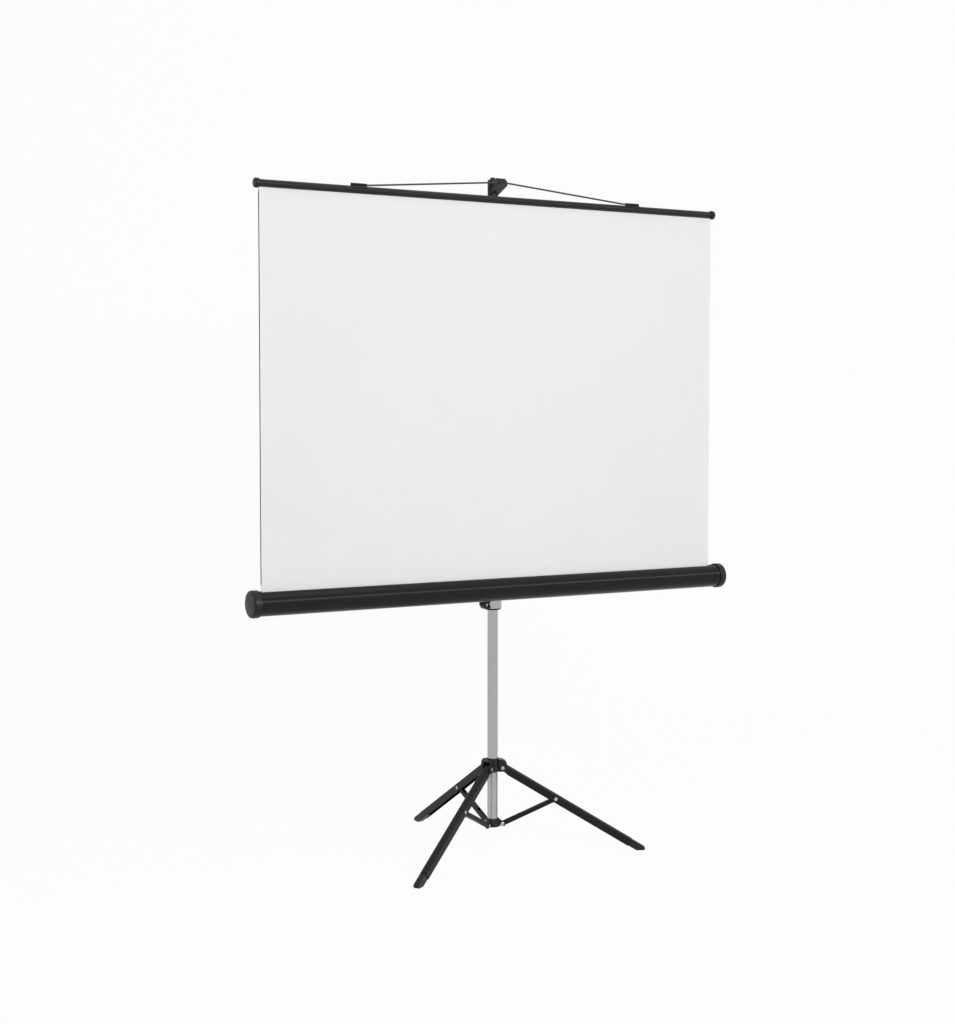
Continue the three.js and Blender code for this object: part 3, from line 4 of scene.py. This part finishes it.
import bmesh
import bpy
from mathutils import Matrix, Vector

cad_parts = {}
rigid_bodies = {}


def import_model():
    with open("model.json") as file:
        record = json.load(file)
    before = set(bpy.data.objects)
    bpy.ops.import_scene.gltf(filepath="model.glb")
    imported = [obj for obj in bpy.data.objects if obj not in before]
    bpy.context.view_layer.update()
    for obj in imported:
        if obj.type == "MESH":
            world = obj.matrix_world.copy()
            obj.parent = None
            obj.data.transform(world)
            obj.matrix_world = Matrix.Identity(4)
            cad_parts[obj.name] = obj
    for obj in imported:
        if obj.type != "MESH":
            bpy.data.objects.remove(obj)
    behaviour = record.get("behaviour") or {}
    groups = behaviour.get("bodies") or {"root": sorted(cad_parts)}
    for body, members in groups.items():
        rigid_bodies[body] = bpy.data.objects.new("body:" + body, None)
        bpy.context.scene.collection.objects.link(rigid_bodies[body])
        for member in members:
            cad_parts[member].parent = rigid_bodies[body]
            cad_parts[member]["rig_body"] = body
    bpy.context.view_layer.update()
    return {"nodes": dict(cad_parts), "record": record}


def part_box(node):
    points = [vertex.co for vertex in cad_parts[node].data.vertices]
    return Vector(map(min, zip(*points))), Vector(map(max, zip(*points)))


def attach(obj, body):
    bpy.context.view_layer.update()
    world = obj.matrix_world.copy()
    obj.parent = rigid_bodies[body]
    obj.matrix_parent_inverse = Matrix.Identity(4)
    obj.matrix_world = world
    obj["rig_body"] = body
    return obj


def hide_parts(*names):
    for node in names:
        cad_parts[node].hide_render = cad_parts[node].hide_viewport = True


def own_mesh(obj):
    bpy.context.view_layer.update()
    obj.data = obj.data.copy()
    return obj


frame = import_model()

MM = 0.001

# Camera, placed from the column's foot
CAMERA_FROM_COLUMN = Vector((-2.5944, -4.2893, 1.3054))
CAMERA_YAW = math.radians(30.777)
CAMERA_PITCH = math.radians(-2.96)
CAMERA_LENS = 60.5
CAMERA_SHIFT = (-0.0034, -0.0151)
SENSOR_WIDTH = 36

# Stage
FLOOR_FRONT = 3.0
FLOOR_BACK = 3.2
FLOOR_SIDE = 6.0
SWEEP_RADIUS = 1.2
SWEEP_STEPS = 8
BACKDROP_TOP = 5.0
STAGE_DROP = 0.5 * MM
STAGE_GREY = 0.88
STAGE_SHADE_SHARE = 0.05
# Light of the room around the stage
ROOM_LEFT = 0.32
ROOM_RIGHT = 0.12

# Lamps: place and aim from the column's foot, width, height and power in watts
SCREEN_MIDDLE = Vector((0, -0.07, 1.2))
LAMPS = {
    "key": (Vector((-0.6, -5.0, 2.6)), SCREEN_MIDDLE, 3.0, 1.2, 157),
    "strip": (Vector((3.0, -4.9, 3.1)), SCREEN_MIDDLE, 4.2, 0.25, 38),
    "top": (Vector((0, -0.6, 4.2)), Vector((0, 0, 0)), 3.0, 3.0, 20),
}

# Fabric
FABRIC_THICKNESS = 0.4 * MM
CURL_LENGTH = 9.8 * MM
CURL_TURN_LEFT = math.radians(125)
CURL_TURN_RIGHT = math.radians(45)
EDGE_OUT_LEFT = 3.2 * MM
EDGE_OUT_RIGHT = -1.5 * MM
CURL_STEPS = 7
CURL_FADE = 0.022
FABRIC_COLUMNS = 60
FABRIC_ROWS = 40
LEAD_ROWS = 3
FADE_ROWS = 6
FABRIC_CREASE = math.radians(50)
# A very slight unevenness of the drawn-out screen: its depth, and turn and phase along each direction
FABRIC_WAVE = 0.5 * MM
WAVE_ACROSS = (9, 2.0)
WAVE_UP = (5, 0.6)
WEAVE_SCALE = 80.0
# Below this share of the curl, an edge is laid flat
LEAST_CURL = 0.001

# Wound fabric
ROLL_TURNS = 2
ROLL_GAP = 0.3 * MM
ROLL_STEPS_PER_TURN = 48

# Rigid pieces
WELD = 0.002 * MM
FLAT_ANGLE = math.radians(0.5)
EDGE_EASE = 0.35 * MM
EASE_SEGMENTS = 2
CREASE_ANGLE = math.radians(32)

# Grain of the black finishes and the metals
BLACK_CLOUD_SCALE = 18.0
STREAK_STRETCH = (1, 1, 0.02)
SCRATCH_STRETCH = (0.08, 1, 1)


# Shader building

def new_material(name):
    mat = bpy.data.materials.new(name)
    mat.use_nodes = True
    nodes = mat.node_tree.nodes
    return mat, nodes, mat.node_tree.links, nodes["Principled BSDF"]


def add(nodes, kind, **values):
    """A new shader node with its settings and input values."""
    node = nodes.new(kind)
    for key, value in values.items():
        if hasattr(node, key):
            setattr(node, key, value)
        else:
            node.inputs[key].default_value = value
    return node


def object_coordinates(nodes, links, scale=(1, 1, 1)):
    coordinates = add(nodes, "ShaderNodeTexCoord")
    mapping = add(nodes, "ShaderNodeMapping")
    mapping.inputs["Scale"].default_value = scale
    links.new(coordinates.outputs["Object"], mapping.inputs["Vector"])
    return mapping.outputs["Vector"]


def noise(nodes, links, vector, scale, detail=3.0):
    texture = add(nodes, "ShaderNodeTexNoise", Scale=scale, Detail=detail)
    links.new(vector, texture.inputs["Vector"])
    return texture.outputs["Fac"]


def ramp(nodes, links, factor, low, high):
    """Maps a factor from 0 to 1 onto low to high."""
    node = add(nodes, "ShaderNodeMapRange")
    node.inputs["To Min"].default_value = low
    node.inputs["To Max"].default_value = high
    links.new(factor, node.inputs["Value"])
    return node.outputs["Result"]


def tint(nodes, links, factor, dark, light):
    node = add(nodes, "ShaderNodeMix", data_type="RGBA")
    node.inputs["A"].default_value = (*dark, 1)
    node.inputs["B"].default_value = (*light, 1)
    links.new(factor, node.inputs["Factor"])
    return node.outputs["Result"]


def bump(nodes, links, shader, height, distance, strength=0.4):
    node = add(nodes, "ShaderNodeBump", Strength=strength, Distance=distance)
    links.new(height, node.inputs["Height"])
    links.new(node.outputs["Normal"], shader.inputs["Normal"])


# Materials

def black_finish(name, dark, light, rough, specular, grain_scale, grain_depth):
    """Near-black paint or plastic, a little cloudy, with a fine grain or orange peel."""
    mat, nodes, links, shader = new_material(name)
    vector = object_coordinates(nodes, links)
    cloud = noise(nodes, links, vector, BLACK_CLOUD_SCALE)
    links.new(tint(nodes, links, cloud, [dark] * 3, [light] * 3), shader.inputs["Base Color"])
    links.new(ramp(nodes, links, cloud, *rough), shader.inputs["Roughness"])
    shader.inputs["Specular IOR Level"].default_value = specular
    grain = noise(nodes, links, vector, grain_scale, 2.0)
    bump(nodes, links, shader, grain, grain_depth, 0.3)
    return mat


def chrome():
    mat, nodes, links, shader = new_material("chrome")
    shader.inputs["Metallic"].default_value = 1.0
    streaks = noise(nodes, links, object_coordinates(nodes, links, STREAK_STRETCH), 900.0, 2.0)
    cloud = noise(nodes, links, object_coordinates(nodes, links), 9.0)
    links.new(tint(nodes, links, cloud, (0.36, 0.36, 0.37), (0.44, 0.44, 0.45)), shader.inputs["Base Color"])
    links.new(ramp(nodes, links, streaks, 0.07, 0.17), shader.inputs["Roughness"])
    return mat


def bright_steel():
    mat, nodes, links, shader = new_material("bright_steel")
    shader.inputs["Metallic"].default_value = 1.0
    scratches = noise(nodes, links, object_coordinates(nodes, links, SCRATCH_STRETCH), 1600.0, 2.0)
    cloud = noise(nodes, links, object_coordinates(nodes, links), 60.0)
    links.new(tint(nodes, links, cloud, (0.34, 0.34, 0.35), (0.44, 0.44, 0.45)), shader.inputs["Base Color"])
    links.new(ramp(nodes, links, scratches, 0.24, 0.42), shader.inputs["Roughness"])
    bump(nodes, links, shader, scratches, 0.02 * MM, 0.2)
    return mat


def weave(nodes, links, scale):
    """Height of a plain weave: warp threads along Z times weft threads along X."""
    vector = object_coordinates(nodes, links)
    threads = []
    for direction in ("X", "Z"):
        wave = add(nodes, "ShaderNodeTexWave", bands_direction=direction, wave_profile="SIN")
        wave.inputs["Scale"].default_value = scale
        links.new(vector, wave.inputs["Vector"])
        threads.append(wave.outputs["Fac"])
    product = add(nodes, "ShaderNodeMath", operation="MULTIPLY")
    for socket, thread in zip(product.inputs, threads):
        links.new(thread, socket)
    return product.outputs["Value"]


def fabric(name, dark, light, rough):
    """Coated cloth with a fine weave and a slightly uneven tone."""
    mat, nodes, links, shader = new_material(name)
    cloud = noise(nodes, links, object_coordinates(nodes, links), 5.0, 4.0)
    links.new(tint(nodes, links, cloud, dark, light), shader.inputs["Base Color"])
    fine = noise(nodes, links, object_coordinates(nodes, links), 700.0, 2.0)
    links.new(ramp(nodes, links, fine, rough - 0.05, rough + 0.05), shader.inputs["Roughness"])
    shader.inputs["Specular IOR Level"].default_value = 0.2
    bump(nodes, links, shader, weave(nodes, links, WEAVE_SCALE), 0.06 * MM, 0.2)
    return mat


FINISHES = {
    "case_paint": black_finish("case_paint", 0.005, 0.008, (0.16, 0.24), 0.18, 420.0, 0.02 * MM),
    "bar_paint": black_finish("bar_paint", 0.006, 0.010, (0.16, 0.26), 0.25, 420.0, 0.02 * MM),
    "leg_paint": black_finish("leg_paint", 0.004, 0.007, (0.30, 0.44), 0.18, 900.0, 0.03 * MM),
    "plastic": black_finish("plastic", 0.006, 0.011, (0.34, 0.50), 0.25, 1400.0, 0.05 * MM),
    "wire": black_finish("wire", 0.006, 0.012, (0.30, 0.45), 0.5, 1100.0, 0.02 * MM),
    "chrome": chrome(),
    "steel": bright_steel(),
    "screen_front": fabric("screen_front", (0.80, 0.80, 0.815), (0.825, 0.825, 0.84), 0.85),
    "screen_back": fabric("screen_back", (0.02, 0.02, 0.021), (0.03, 0.03, 0.031), 0.8),
}


# Rigid pieces, worked up from the frame

def refined(node, finish):
    """A copy of a rigid node with welded, eased edges and smooth rounds, in place of the node."""
    source = frame["nodes"][node].data
    mesh = bpy.data.meshes.new(node + "_piece")
    corners = [tuple(face.vertices) for face in source.polygons]
    mesh.from_pydata([vertex.co[:] for vertex in source.vertices], [], corners)
    mesh.materials.append(FINISHES[finish])
    work = bmesh.new()
    work.from_mesh(mesh)
    bmesh.ops.remove_doubles(work, verts=work.verts, dist=WELD)
    bmesh.ops.dissolve_limit(work, angle_limit=FLAT_ANGLE, verts=work.verts, edges=work.edges)
    for face in work.faces:
        face.smooth = True
    work.to_mesh(mesh)
    work.free()
    mesh.set_sharp_from_angle(angle=CREASE_ANGLE)
    piece = bpy.data.objects.new(node + "_piece", mesh)
    bpy.context.scene.collection.objects.link(piece)
    ease = piece.modifiers.new("ease", "BEVEL")
    ease.width = EDGE_EASE
    ease.segments = EASE_SEGMENTS
    ease.limit_method = "ANGLE"
    ease.angle_limit = CREASE_ANGLE
    ease.harden_normals = True
    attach(piece, frame["nodes"][node]["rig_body"])
    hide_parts(node)
    return piece


# Fabric

def eased(share):
    """A smooth step from 0 to 1."""
    share = min(max(share, 0.0), 1.0)
    return share * share * (3 - 2 * share)


def ripple(along, turn, phase):
    return math.sin(turn * along + phase)


def fabric_object(name, work):
    """An object of the mesh at work, with the white front and the black back as its materials."""
    mesh = bpy.data.meshes.new(name)
    work.to_mesh(mesh)
    work.free()
    mesh.set_sharp_from_angle(angle=FABRIC_CREASE)
    mesh.materials.append(FINISHES["screen_front"])
    mesh.materials.append(FINISHES["screen_back"])
    piece = bpy.data.objects.new(name, mesh)
    bpy.context.scene.collection.objects.link(piece)
    return piece


def screen_sheet():
    """The drawn-out screen: white in front, black behind, its side edges curling forwards."""
    low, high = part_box("screen_fabric")
    half = (high.x - low.x) / 2
    centre = (high.x + low.x) / 2
    plane = (high.y + low.y) / 2
    height = high.z - low.z
    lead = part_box("case_tube")[1].z - low.z

    inner = half - CURL_LENGTH
    curl = [CURL_LENGTH * i / CURL_STEPS for i in range(1, CURL_STEPS + 1)]
    across = [-inner - s for s in reversed(curl)]
    across += [-inner + 2 * inner * i / FABRIC_COLUMNS for i in range(FABRIC_COLUMNS + 1)]
    across += [inner + s for s in curl]
    up = [lead * i / LEAD_ROWS for i in range(LEAD_ROWS)]
    up += [lead + CURL_FADE * i / FADE_ROWS for i in range(FADE_ROWS)]
    free_height = height - lead - 2 * CURL_FADE
    up += [lead + CURL_FADE + free_height * i / FABRIC_ROWS for i in range(FABRIC_ROWS)]
    up += [height - CURL_FADE + CURL_FADE * i / FADE_ROWS for i in range(FADE_ROWS + 1)]

    def point(across_flat, z, side):
        """Where a spot of the flat cloth ends up. side is its offset from the middle of the thickness."""
        free = eased((z - lead) / CURL_FADE) * eased((height - z) / CURL_FADE)
        wave = free * FABRIC_WAVE * ripple(across_flat, *WAVE_ACROSS) * ripple(z, *WAVE_UP)
        outward = math.copysign(1, across_flat)
        full_turn = CURL_TURN_LEFT if across_flat < 0 else CURL_TURN_RIGHT
        edge_out = EDGE_OUT_LEFT if across_flat < 0 else EDGE_OUT_RIGHT
        radius = CURL_LENGTH / full_turn
        widest = radius * math.sin(min(full_turn, math.pi / 2))
        start = inner + free * (edge_out + CURL_LENGTH - widest)
        reach = abs(across_flat) - inner
        x, y = start * abs(across_flat) / inner, side
        if reach > 0 and free > LEAST_CURL:
            bend = radius / free
            turn = reach / bend
            x = start + (bend + side) * math.sin(turn)
            y = side - (bend + side) * (1 - math.cos(turn))
        elif reach > 0:
            x = start + reach
        return Vector((centre + outward * x, plane + wave + y, low.z + z))

    work = bmesh.new()
    layers = []
    for side in (-FABRIC_THICKNESS / 2, FABRIC_THICKNESS / 2):
        layers.append([[work.verts.new(point(x, z, side)) for x in across] for z in up])
    front, back = layers
    last_row, last_column = len(up) - 1, len(across) - 1
    for i in range(last_row):
        for k in range(last_column):
            work.faces.new((front[i][k], front[i][k + 1], front[i + 1][k + 1], front[i + 1][k]))
            face = work.faces.new((back[i][k], back[i + 1][k], back[i + 1][k + 1], back[i][k + 1]))
            face.material_index = 1
    for i in range(last_row):
        left = (front[i][0], front[i + 1][0], back[i + 1][0], back[i][0])
        right = (front[i + 1][-1], front[i][-1], back[i][-1], back[i + 1][-1])
        for corners in (left, right):
            work.faces.new(corners).material_index = 1
    for k in range(last_column):
        work.faces.new((front[0][k + 1], front[0][k], back[0][k], back[0][k + 1]))
        work.faces.new((front[-1][k], front[-1][k + 1], back[-1][k + 1], back[-1][k]))
    for face in work.faces:
        face.smooth = True
    piece = fabric_object("screen_sheet", work)
    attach(piece, "case")
    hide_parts("screen_fabric")
    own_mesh(piece)


def wound_fabric():
    """The turns left on the roller, as one smooth spiral strip."""
    low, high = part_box("fabric_roll")
    tube_low, tube_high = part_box("roller_tube")
    axis_y = (tube_low.y + tube_high.y) / 2
    axis_z = (tube_low.z + tube_high.z) / 2
    inner = (tube_high.z - tube_low.z) / 2 + ROLL_GAP
    outer = max(high.y - axis_y, axis_y - low.y)
    steps = ROLL_TURNS * ROLL_STEPS_PER_TURN
    pitch = (outer - inner - FABRIC_THICKNESS) / ROLL_TURNS
    work = bmesh.new()
    rings = []
    for i in range(steps + 1):
        angle = 2 * math.pi * i / ROLL_STEPS_PER_TURN
        ring = []
        for x, extra in ((low.x, 0), (high.x, 0), (high.x, 1), (low.x, 1)):
            radius = inner + pitch * i / ROLL_STEPS_PER_TURN + extra * FABRIC_THICKNESS
            ring.append(
                work.verts.new((x, axis_y + radius * math.cos(angle), axis_z + radius * math.sin(angle)))
            )
        rings.append(ring)
    for before, after in zip(rings, rings[1:]):
        for k in range(4):
            n = (k + 1) % 4
            face = work.faces.new((before[k], before[n], after[n], after[k]))
            face.smooth = True
            face.material_index = 1 if k == 0 else 0
    work.faces.new(rings[0][::-1])
    work.faces.new(rings[-1])
    bmesh.ops.recalc_face_normals(work, faces=work.faces)
    piece = fabric_object("wound_fabric", work)
    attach(piece, "roller")
    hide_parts("fabric_roll")


# Stage, lights and camera

def combined(nodes, links, values, operation):
    """Some values put together one after another by a math operation, such as MAXIMUM."""
    result = values[0]
    for value in values[1:]:
        node = add(nodes, "ShaderNodeMath", operation=operation)
        links.new(result, node.inputs[0])
        links.new(value, node.inputs[1])
        result = node.outputs["Value"]
    return result


def background_rays(nodes, links, path):
    """1 for the rays that show the white background: what is seen directly, mirrored or through glass."""
    kinds = ("Is Camera Ray", "Is Glossy Ray", "Is Transmission Ray")
    return combined(nodes, links, [path.outputs[kind] for kind in kinds], "MAXIMUM")


def stage_material():
    """White to the camera and to reflections, with a part of its own shading, so that shadows show."""
    mat, nodes, links, shader = new_material("stage_white")
    nodes.remove(shader)
    out = nodes["Material Output"]
    path = add(nodes, "ShaderNodeLightPath")
    paper = add(nodes, "ShaderNodeBsdfDiffuse", Color=(STAGE_GREY, STAGE_GREY, STAGE_GREY, 1))
    white = add(nodes, "ShaderNodeEmission", Color=(1, 1, 1, 1), Strength=1.0)
    share = add(nodes, "ShaderNodeMath", operation="MULTIPLY")
    share.inputs[1].default_value = 1 - STAGE_SHADE_SHARE
    links.new(background_rays(nodes, links, path), share.inputs[0])
    front = add(nodes, "ShaderNodeMixShader")
    links.new(share.outputs["Value"], front.inputs["Fac"])
    links.new(paper.outputs["BSDF"], front.inputs[1])
    links.new(white.outputs["Emission"], front.inputs[2])
    # From behind or below, the object is seen through the stage
    facing = add(nodes, "ShaderNodeNewGeometry")
    both = [facing.outputs["Backfacing"], path.outputs["Is Camera Ray"]]
    behind = combined(nodes, links, both, "MINIMUM")
    clear = add(nodes, "ShaderNodeBsdfTransparent")
    whole = add(nodes, "ShaderNodeMixShader")
    links.new(behind, whole.inputs["Fac"])
    links.new(front.outputs["Shader"], whole.inputs[1])
    links.new(clear.outputs["BSDF"], whole.inputs[2])
    links.new(whole.outputs["Shader"], out.inputs["Surface"])
    return mat


def build_stage(foot):
    """A floor that sweeps up into a backdrop, square to the camera."""
    profile = [(-FLOOR_FRONT, 0.0), (0.0, 0.0), (FLOOR_BACK - SWEEP_RADIUS, 0.0)]
    for i in range(1, SWEEP_STEPS + 1):
        angle = math.pi / 2 * i / SWEEP_STEPS
        profile.append((
            FLOOR_BACK - SWEEP_RADIUS + SWEEP_RADIUS * math.sin(angle),
            SWEEP_RADIUS - SWEEP_RADIUS * math.cos(angle),
        ))
    profile.append((FLOOR_BACK, BACKDROP_TOP))
    work = bmesh.new()
    rows = [
        [work.verts.new((side, along, up)) for side in (-FLOOR_SIDE, FLOOR_SIDE)] for along, up in profile
    ]
    for a, b in zip(rows, rows[1:]):
        work.faces.new((a[0], a[1], b[1], b[0])).smooth = True
    mesh = bpy.data.meshes.new("stage")
    work.to_mesh(mesh)
    work.free()
    mesh.materials.append(stage_material())
    stage = bpy.data.objects.new("stage", mesh)
    stage.location = (foot.x, foot.y, -STAGE_DROP)
    stage.rotation_euler.z = -CAMERA_YAW
    bpy.context.scene.collection.objects.link(stage)


def build_world():
    """White to the camera and to reflections. As a light it is dim, a little lighter on the left."""
    world = bpy.data.worlds.new("studio")
    world.use_nodes = True
    bpy.context.scene.world = world
    nodes, links = world.node_tree.nodes, world.node_tree.links
    nodes.clear()
    out = add(nodes, "ShaderNodeOutputWorld")
    coordinates = add(nodes, "ShaderNodeTexCoord")
    parts = add(nodes, "ShaderNodeSeparateXYZ")
    links.new(coordinates.outputs["Generated"], parts.inputs["Vector"])
    span = add(nodes, "ShaderNodeMapRange")
    span.inputs["From Min"].default_value = -1.0
    span.inputs["From Max"].default_value = 1.0
    links.new(parts.outputs["X"], span.inputs["Value"])
    dim = tint(nodes, links, span.outputs["Result"], [ROOM_LEFT] * 3, [ROOM_RIGHT] * 3)
    room = add(nodes, "ShaderNodeBackground", Strength=1.0)
    links.new(dim, room.inputs["Color"])
    white = add(nodes, "ShaderNodeBackground", Color=(1, 1, 1, 1), Strength=1.0)
    path = add(nodes, "ShaderNodeLightPath")
    mix = add(nodes, "ShaderNodeMixShader")
    links.new(background_rays(nodes, links, path), mix.inputs["Fac"])
    links.new(room.outputs["Background"], mix.inputs[1])
    links.new(white.outputs["Background"], mix.inputs[2])
    links.new(mix.outputs["Shader"], out.inputs["Surface"])


def softbox(name, place, aim, width, height, power):
    """A rectangular lamp that faces its aim."""
    light = bpy.data.lights.new(name, "AREA")
    light.shape = "RECTANGLE"
    light.size = width
    light.size_y = height
    light.energy = power
    lamp = bpy.data.objects.new(name, light)
    lamp.location = place
    lamp.rotation_euler = (aim - place).to_track_quat("-Z", "Y").to_euler()
    bpy.context.scene.collection.objects.link(lamp)


def build_camera(foot):
    data = bpy.data.cameras.new("camera")
    data.lens = CAMERA_LENS
    data.sensor_width = SENSOR_WIDTH
    data.shift_x, data.shift_y = CAMERA_SHIFT
    camera = bpy.data.objects.new("camera", data)
    camera.location = foot + CAMERA_FROM_COLUMN
    camera.rotation_euler = (math.pi / 2 + CAMERA_PITCH, 0, -CAMERA_YAW)
    bpy.context.scene.collection.objects.link(camera)
    bpy.context.scene.camera = camera


def column_foot_point():
    low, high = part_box("column_tube")
    return Vector(((low.x + high.x) / 2, (low.y + high.y) / 2, 0))


# Which finish each rigid node takes
FINISH_OF_SLOT = {
    "gloss_black": "case_paint",
    "black_plastic": "plastic",
    "chrome_tube": "chrome",
    "bright_steel": "steel",
    "bail_steel": "wire",
}
SOFT_NODES = ("screen_fabric", "fabric_roll")
LEG_PIECES = ("leg_", "strut_")
FINISH_OF_NODE = {"top_bar": "bar_paint", "clamp_ring": "chrome"}


def finish_for(row):
    if row["node"] in FINISH_OF_NODE:
        return FINISH_OF_NODE[row["node"]]
    if row["node"].startswith(LEG_PIECES) and row["material_slot"] == "gloss_black":
        return "leg_paint"
    return FINISH_OF_SLOT[row["material_slot"]]


foot = column_foot_point()
build_camera(foot)
build_world()
build_stage(foot)

screen_sheet()
wound_fabric()
for row in frame["record"]["subparts"]:
    if row["node"] not in SOFT_NODES:
        piece = refined(row["node"], finish_for(row))

for name, (place, aim, width, height, power) in LAMPS.items():
    softbox(name, foot + place, foot + aim, width, height, power)

bpy.context.scene.view_settings.view_transform = "Standard"
